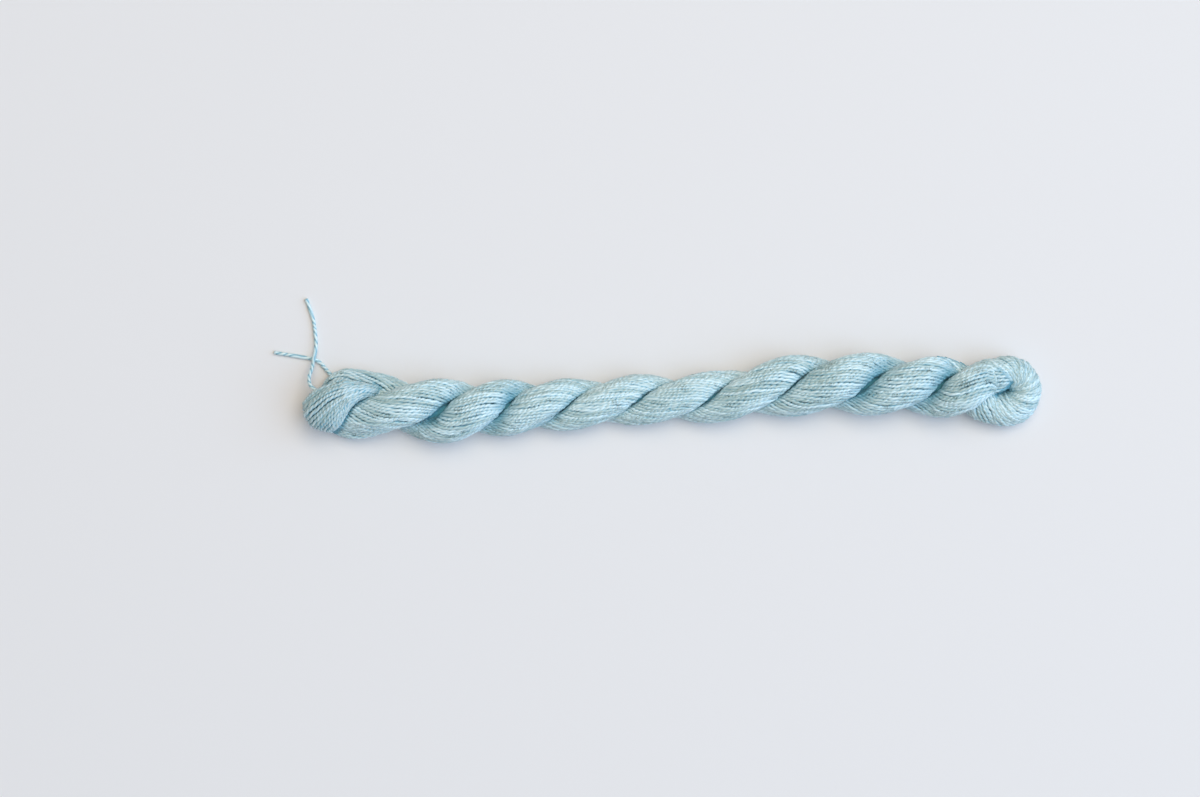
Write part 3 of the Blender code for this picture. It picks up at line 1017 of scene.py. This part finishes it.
def core_material(settings):
    """The deep threads, painted dark as shade: the inner colour in fine streaks."""
    material, tree, shader = new_material("floss_inside", CORE_ROUGHNESS)
    place = tree.nodes.new("ShaderNodeTexCoord")
    streaks = node(tree, "ShaderNodeTexNoise", Scale=STREAK_SCALE, Detail=2.0)
    tree.links.new(place.outputs["Object"], streaks.inputs["Vector"])
    dark, pale = ([c * share for c in settings.inner_painted_shade] for share in CORE_SHARES)
    tree.links.new(ramp(tree, streaks.outputs["Fac"], (0.0, dark), (1.0, pale)), shader.inputs["Base Color"])
    return material


def plain_material(name, colour, roughness):
    """A plain matt surface of one colour."""
    material, _, shader = new_material(name, roughness)
    shader.inputs["Base Color"].default_value = (*colour, 1.0)
    return material


# ---------------------------------------------------------------------------------------------------
# Laying threads
# ---------------------------------------------------------------------------------------------------

def seam_painted_shade(places, seams):
    """The painted shade that places get near the seams where bundles meet, seen from above, from 0 to the
    strength.
    """
    nearest = 0.0
    for half_width, strength, line in seams:
        curve = smooth_curve(np.array(line) * MM, SEAM_STEPS)
        gap = np.min(np.linalg.norm(places[:, :, None, :2] - curve, axis=-1), axis=-1)
        nearest = np.maximum(nearest, strength * smooth_step(SEAM_END - gap / (half_width * MM)))
    return nearest


def lay_threads(rng, floss, name, path, count, depth, sunk, clearance, section, material):
    """Threads laid round a path at a depth under its surface and sunk below others, with painted shade, as
    finished pieces.
    """
    places, outward, painted_shade = thread_places(rng, path, count, depth + sunk, floss.leg_twist, floss.unevenness)
    # Painted shade where the threads sink under the fan and beside the seams, over that of the creases.
    painted_shade = np.maximum(np.maximum(painted_shade, sunk / FAN_SINK), seam_painted_shade(places, SEAMS))
    thread_pieces(rng, name, floss, pressed(places, clearance), outward, painted_shade, section, material)


def evened(lines, spacing):
    """The lines at even steps of about the spacing, all with as many steps as the longest needs."""
    travels = [travel_along(line[:, :3]) for line in lines]
    steps = int(max(travel[-1] for travel in travels) / spacing) + 2
    shares = np.linspace(0, 1, steps)
    return np.array([np.column_stack([np.interp(shares * travel[-1], travel, column) for column in line.T])
                     for line, travel in zip(lines, travels)])


# ---------------------------------------------------------------------------------------------------
# The fan over the U-turn
# ---------------------------------------------------------------------------------------------------

def uturn_start(path):
    """The step of the path at which the U-turn starts."""
    first = np.array([UTURN_X, UTURN_Y + UTURN_RADIUS])
    return int(np.argmin(np.linalg.norm(path[:, :2] - first, axis=1)))


def fan_part(ways):
    """How far a fan thread's angle is from its rim's towards its eye's, at a way round from the eye."""
    return np.clip(1 - 2 * ways, 0, 1) ** FAN_POWER - FAN_LEAN * np.clip(ways - 0.5, 0, 1)


def under_fan(path, turn):
    """How far the leg threads sink under the fan: from its first thread to its last, with soft ends."""
    travel = travel_along(path[:, :3])
    angle = 90 - np.degrees((travel - travel[uturn_start(path)]) / UTURN_RADIUS)
    part = fan_part(turn % 1.0)
    first, last = (rim + (eye - rim) * part for rim, eye in (FAN[0], FAN[-1]))
    fade = math.degrees(FAN_FADE / UTURN_RADIUS)
    past_first = smooth_step(FAN_OUTSIDE + (first - angle) / fade)
    before_last = smooth_step(FAN_OUTSIDE + (angle - last) / fade)
    return FAN_SINK * (past_first * before_last)


def fan_lines(path, count, depth, spacing):
    """Middle lines and outward directions of the threads that fan over the U-turn.

    The surface is read as a grid of places, by the way round the leg and the way along it. A thread goes
    round from the eye (0) over the top to the rim (a half turn) and on underneath. Its angle along goes
    from the eye's to the rim's with the way round to a power, so it slants most near the eye. Every
    second thread starts deeper at the eye, where there is no room for all.
    """
    rim_deg, eye_deg = np.array(FAN, float).T
    known_deg, known_length = np.array(RIM_LENGTHS).T
    rim_length = np.interp(-rim_deg, -known_deg, known_length)
    rims = np.interp(np.linspace(rim_length[0], rim_length[-1], count), rim_length, rim_deg)
    eyes = np.interp(-rims, -rim_deg, eye_deg)
    turns = np.linspace(0, 1, FAN_ROWS)
    ways = np.linspace(*FAN_WAYS, FAN_STEPS)
    angles = rims[:, None] + (eyes - rims)[:, None] * fan_part(ways)
    step = np.linalg.norm(path[1, :3] - path[0, :3])
    column = uturn_start(path) + np.radians(90 - angles) * UTURN_RADIUS / step
    row = ways * (len(turns) - 1) + 0 * column
    around = np.repeat(turns[:, None], len(path), axis=1)
    upper, outward, _ = round_the_leg(path, around, depth)
    lower, _, _ = round_the_leg(path, around, depth + FAN_SINK)
    sunk = np.clip(1 - ways / FAN_START, 0, 1) * (np.arange(count)[:, None] % 2)
    lines = read_grid(upper, row, column)
    lines += (read_grid(lower, row, column) - lines) * sunk[..., None]
    joined = evened(np.concatenate([lines, read_grid(outward, row, column)], axis=-1), spacing)
    return joined[..., :3], joined[..., 3:]


# ---------------------------------------------------------------------------------------------------
# The head
# ---------------------------------------------------------------------------------------------------

def head_lines(angles, sunk, spacing):
    """Middle lines of the head's threads, at angles from its upper edge (0) over its top to its right edge.

    A thread's plan is read across the guides, at half of one less the cosine of its angle. Its height is
    the middle's plus the crown's times the sine of its angle, and that is drawn down to nothing at the
    rim by a quarter circle over the roll. Past the rim it goes back under by the same rule, with the
    crown turned down. Sunk threads have a smaller crown and stop short of the rim by as much. Every
    second thread starts lower at the neck, where there is no room for all.
    """
    share = (1 - np.cos(angles)) / 2
    guides = np.array([smooth_curve(guide, CURVE_STEPS) for guide in HEAD_GUIDES]) * MM
    between = smooth_curve(guides.reshape(len(guides), -1), CURVE_STEPS)
    places = np.linspace(0, 1, len(between))
    plans = np.column_stack([np.interp(share, places, column) for column in between.T])
    plans = plans.reshape(len(share), -1, 2)
    station = np.linspace(0, len(HEAD_HEIGHTS) - 1, plans.shape[1])
    middle, crown = (np.interp(station, np.arange(len(HEAD_HEIGHTS)), column) * MM
                     for column in np.array(HEAD_HEIGHTS).T)
    over = np.linspace(0, math.pi / 2, HEAD_ROLL_STEPS)
    back = over[::-1][1:]
    lift = np.concatenate([np.ones(HEAD_STEPS), np.cos(over), -np.cos(back), -np.ones(HEAD_UNDER_STEPS)])
    entering = np.arange(len(lift)) < HEAD_STEPS + HEAD_ROLL_STEPS
    lines = []
    for index, (plan, angle) in enumerate(zip(plans, angles)):
        travel = travel_along(plan)
        reach = travel[-1] - sunk
        flat = reach - HEAD_ROLL
        way = np.concatenate([np.linspace(0, flat, HEAD_STEPS, endpoint=False),
                              reach - HEAD_ROLL * (1 - np.sin(over)),
                              reach - HEAD_ROLL * (1 - np.sin(back)),
                              np.linspace(flat, reach - HEAD_UNDER, HEAD_UNDER_STEPS + 1)[1:]])
        x, y, mid, top = (np.interp(way, travel, column) for column in (*plan.T, middle, crown))
        rise = lift * (top - sunk) * max(math.sin(angle), HEAD_LEAST_RISE)
        dropped = HEAD_SINK * (index % 2) * smooth_step(1 - way / HEAD_SINK_LENGTH) * entering
        lines.append(np.column_stack([x, y, mid + rise - dropped]))
    return evened(lines, spacing)


def head_outward(lines):
    """Directions out of the head at its threads: away from a line that runs along its middle."""
    inner = np.array(HEAD)[:, :3] * [MM, MM, FLATTENING * MM]
    inner = smooth_curve(inner, CURVE_STEPS)
    gaps = np.linalg.norm(lines[:, :, None] - inner, axis=-1)
    nearest = inner[np.argmin(gaps, axis=-1)]
    return unit(lines - nearest)


# ---------------------------------------------------------------------------------------------------
# Operators
# ---------------------------------------------------------------------------------------------------

class SKEIN_OT_camera(Operator):
    """Stand the camera straight over the skein"""

    bl_idname = "skein.camera"
    bl_label = "Camera"

    def execute(self, context):
        stage = context.scene.skein_stage
        camera = bpy.data.cameras.new("camera")
        camera.lens = stage.lens
        camera.sensor_width = 36.0
        camera.sensor_fit = 'HORIZONTAL'
        camera.clip_start = 0.01
        camera.clip_end = 20.0
        distance = stage.view_width * camera.lens / camera.sensor_width
        made = bpy.data.objects.new("camera", camera)
        made.location = (stage.camera_x, stage.camera_y, stage.view_level + distance)
        context.scene.collection.objects.link(made)
        context.scene.camera = made
        return {'FINISHED'}


class SKEIN_OT_tie(Operator):
    """Lay the thread that ties the end loop"""

    bl_idname = "skein.tie"
    bl_label = "Tie"

    def execute(self, context):
        floss, tie = context.scene.skein_floss, context.scene.skein_tie
        line = even_steps(smooth_curve(np.array(TIE_ROUTE) * MM, CURVE_STEPS), TIE_SPACING)
        along = unit(np.gradient(line, axis=0))
        outward = np.cross(np.cross(along, TIE_UPWARD), along)
        rng = np.random.default_rng(floss.seed + 3)
        rings, _ = thread_rings(rng, line[None], outward[None], tie.diameter, tie.ply_pitch, PLY_SECTION)
        piece = single_piece("tie_thread", rings, TIE_TONE, tie_material(floss), "tie")
        return {'FINISHED'}


class SKEIN_OT_legs(Operator):
    """Lay the threads of the rope's two legs, the fan over its U-turn, and the threads under them"""

    bl_idname = "skein.legs"
    bl_label = "Leg threads"

    def execute(self, context):
        floss = context.scene.skein_floss
        rng = np.random.default_rng(floss.seed)
        half = floss.thread_diameter / 2
        path = rope_path(THREAD_SPACING)
        sunk = under_fan(path, thread_turns(path, floss.leg_threads, floss.leg_twist))
        lay_threads(rng, floss, "leg_threads", path, floss.leg_threads, half, sunk, CLEARANCE * half,
                    PLY_SECTION, outer_material(floss))
        lines, outward = fan_lines(path, floss.fan_threads, half, THREAD_SPACING)
        # Painted shade on the fan's threads near the eye and beside the seams.
        painted_shade = np.maximum(smooth_step(1 - travel_along(lines) / EYE_SHADE), seam_painted_shade(lines, SEAMS))
        lines = pressed(strayed(rng, lines, outward, floss.thread_diameter), CLEARANCE * half)
        thread_pieces(rng, "uturn_threads", floss, lines, outward, painted_shade, PLY_SECTION,
                      outer_material(floss))
        under_count = int(floss.leg_threads * UNDER_SHARE)
        lay_threads(rng, floss, "under_threads", rope_path(UNDER_SPACING), under_count,
                    UNDER_DEPTH * half, 0.0, floss.thread_diameter, UNDER_SECTION, under_material(floss))
        return {'FINISHED'}


class SKEIN_OT_end_loop(Operator):
    """Lay the threads of the flat end loop"""

    bl_idname = "skein.end_loop"
    bl_label = "End loop threads"

    def execute(self, context):
        floss = context.scene.skein_floss
        rng = np.random.default_rng(floss.seed + 1)
        half = floss.thread_diameter / 2
        lay_threads(rng, floss, "loop_threads", loop_path(THREAD_SPACING), floss.loop_threads, half, 0.0,
                    CLEARANCE * half, PLY_SECTION, outer_material(floss))
        return {'FINISHED'}


class SKEIN_OT_head(Operator):
    """Fan the threads of the head out of the neck and roll them under at the rim"""

    bl_idname = "skein.head"
    bl_label = "Head threads"

    def execute(self, context):
        floss = context.scene.skein_floss
        rng = np.random.default_rng(floss.seed + 2)
        half = floss.thread_diameter / 2
        count = floss.head_threads
        layers = (("head_threads", half, PLY_SECTION, THREAD_SPACING, head_material(floss)),
                  ("head_under", UNDER_DEPTH * half, UNDER_SECTION, UNDER_SPACING, under_material(floss)))
        for name, depth, section, spacing, material in layers:
            angles = np.linspace(*HEAD_ANGLES, count)
            angles += rng.uniform(-HEAD_STRAY, HEAD_STRAY, count) * (angles[1] - angles[0])
            lines = head_lines(angles, depth - half, spacing)
            outward = head_outward(lines)
            lines = strayed(rng, lines, outward, floss.thread_diameter)
            # Painted shade on the head's threads near the neck.
            neck_painted_shade = smooth_step(1 - travel_along(lines) / NECK_SHADE)
            thread_pieces(rng, name, floss, lines, outward, neck_painted_shade, section, material)
        return {'FINISHED'}


class SKEIN_OT_core(Operator):
    """Fill the legs, the end loop, the head and the middle between the legs with cores painted dark as shade
    """

    bl_idname = "skein.core"
    bl_label = "Core"

    def execute(self, context):
        floss = context.scene.skein_floss
        material = core_material(floss)
        legs = rope_path(CORE_SPACING)
        head = even_steps(smooth_curve(end_rows(HEAD, legs[-1]), CURVE_STEPS), CORE_SPACING)
        cores = (("leg_core", legs, LEG_CORE_DEPTH),
                 ("loop_core", loop_path(CORE_SPACING), LOOP_CORE_DEPTH),
                 ("head_core", head, HEAD_CORE_DEPTH),
                 ("middle_core", middle_path(CORE_SPACING), MIDDLE_CORE_DEPTH))
        around = np.linspace(0, 1, CORE_SIDES, endpoint=False)[:, None]
        clearance = CORE_CLEARANCE * floss.thread_diameter
        for name, path, depth in cores:
            turns = np.repeat(around, len(path), axis=1)
            places, _, _ = round_the_leg(path, turns, depth * floss.thread_diameter)
            rings = pressed(places, clearance).transpose(1, 0, 2)[None, :, ::-1]
            single_piece(name, rings, 0.0, material, "skein")
        return {'FINISHED'}


class SKEIN_OT_stage(Operator):
    """Lay the pale table and set the lights"""

    bl_idname = "skein.stage"
    bl_label = "Stage"

    def execute(self, context):
        stage = context.scene.skein_stage
        corners = [(x * TABLE_HALF, y * TABLE_HALF, 0) for x, y in ((-1, -1), (1, -1), (1, 1), (-1, 1))]
        mesh = bpy.data.meshes.new("table")
        mesh.from_pydata(corners, [], [(0, 1, 2, 3)])
        mesh.materials.append(plain_material("table", stage.floor_colour, TABLE_ROUGHNESS))
        table = bpy.data.objects.new("table", mesh)
        context.scene.collection.objects.link(table)
        aim = Vector((0.0, 0.0, 0.0))
        lights = [
            ("window", WINDOW_PLACE, WINDOW_SIZE, stage.window_power, stage.window_colour),
            ("lamp", LAMP_PLACE, LAMP_SIZE, stage.lamp_power, stage.lamp_colour),
        ]
        for name, place, size, power, colour in lights:
            lamp = bpy.data.lights.new(name, 'AREA')
            lamp.shape = 'SQUARE'
            lamp.size = size
            lamp.energy = power
            lamp.color = colour
            made = bpy.data.objects.new(name, lamp)
            made.location = place
            made.rotation_euler = (aim - Vector(place)).to_track_quat('-Z', 'Y').to_euler()
            context.scene.collection.objects.link(made)
        world = bpy.data.worlds.new("sky")
        world.use_nodes = True
        background = world.node_tree.nodes["Background"]
        background.inputs["Color"].default_value = (*stage.sky_colour, 1.0)
        background.inputs["Strength"].default_value = stage.sky_strength
        context.scene.world = world
        context.scene.view_settings.view_transform = 'Standard'
        return {'FINISHED'}


class VIEW3D_PT_skein(Panel):
    """The skein's settings and operators"""

    bl_label = "Skein"
    bl_category = "Skein"
    bl_space_type = 'VIEW_3D'
    bl_region_type = 'UI'

    def draw(self, context):
        for operator in OPERATORS:
            self.layout.operator(operator.bl_idname)
        for settings in (context.scene.skein_floss, context.scene.skein_tie, context.scene.skein_stage):
            box = self.layout.box()
            for name in settings.bl_rna.properties.keys():
                if name not in {"rna_type", "name"}:
                    box.prop(settings, name)


OPERATORS = (SKEIN_OT_camera, SKEIN_OT_tie, SKEIN_OT_legs, SKEIN_OT_end_loop, SKEIN_OT_head, SKEIN_OT_core,
             SKEIN_OT_stage)
CLASSES = (SkeinFlossSettings, SkeinTieSettings, SkeinStageSettings, *OPERATORS, VIEW3D_PT_skein)


def register():
    """Make the settings, operators and panel known."""
    for cls in CLASSES:
        bpy.utils.register_class(cls)
    bpy.types.Scene.skein_floss = PointerProperty(type=SkeinFlossSettings)
    bpy.types.Scene.skein_tie = PointerProperty(type=SkeinTieSettings)
    bpy.types.Scene.skein_stage = PointerProperty(type=SkeinStageSettings)


def unregister():
    """Take them away again."""
    del bpy.types.Scene.skein_stage
    del bpy.types.Scene.skein_tie
    del bpy.types.Scene.skein_floss
    for cls in reversed(CLASSES):
        bpy.utils.unregister_class(cls)


def main():
    """Register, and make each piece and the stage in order."""
    register()
    bpy.ops.skein.camera()
    bpy.ops.skein.tie()
    bpy.ops.skein.legs()
    bpy.ops.skein.end_loop()
    bpy.ops.skein.head()
    bpy.ops.skein.core()
    bpy.ops.skein.stage()


if __name__ == "__main__":
    main()
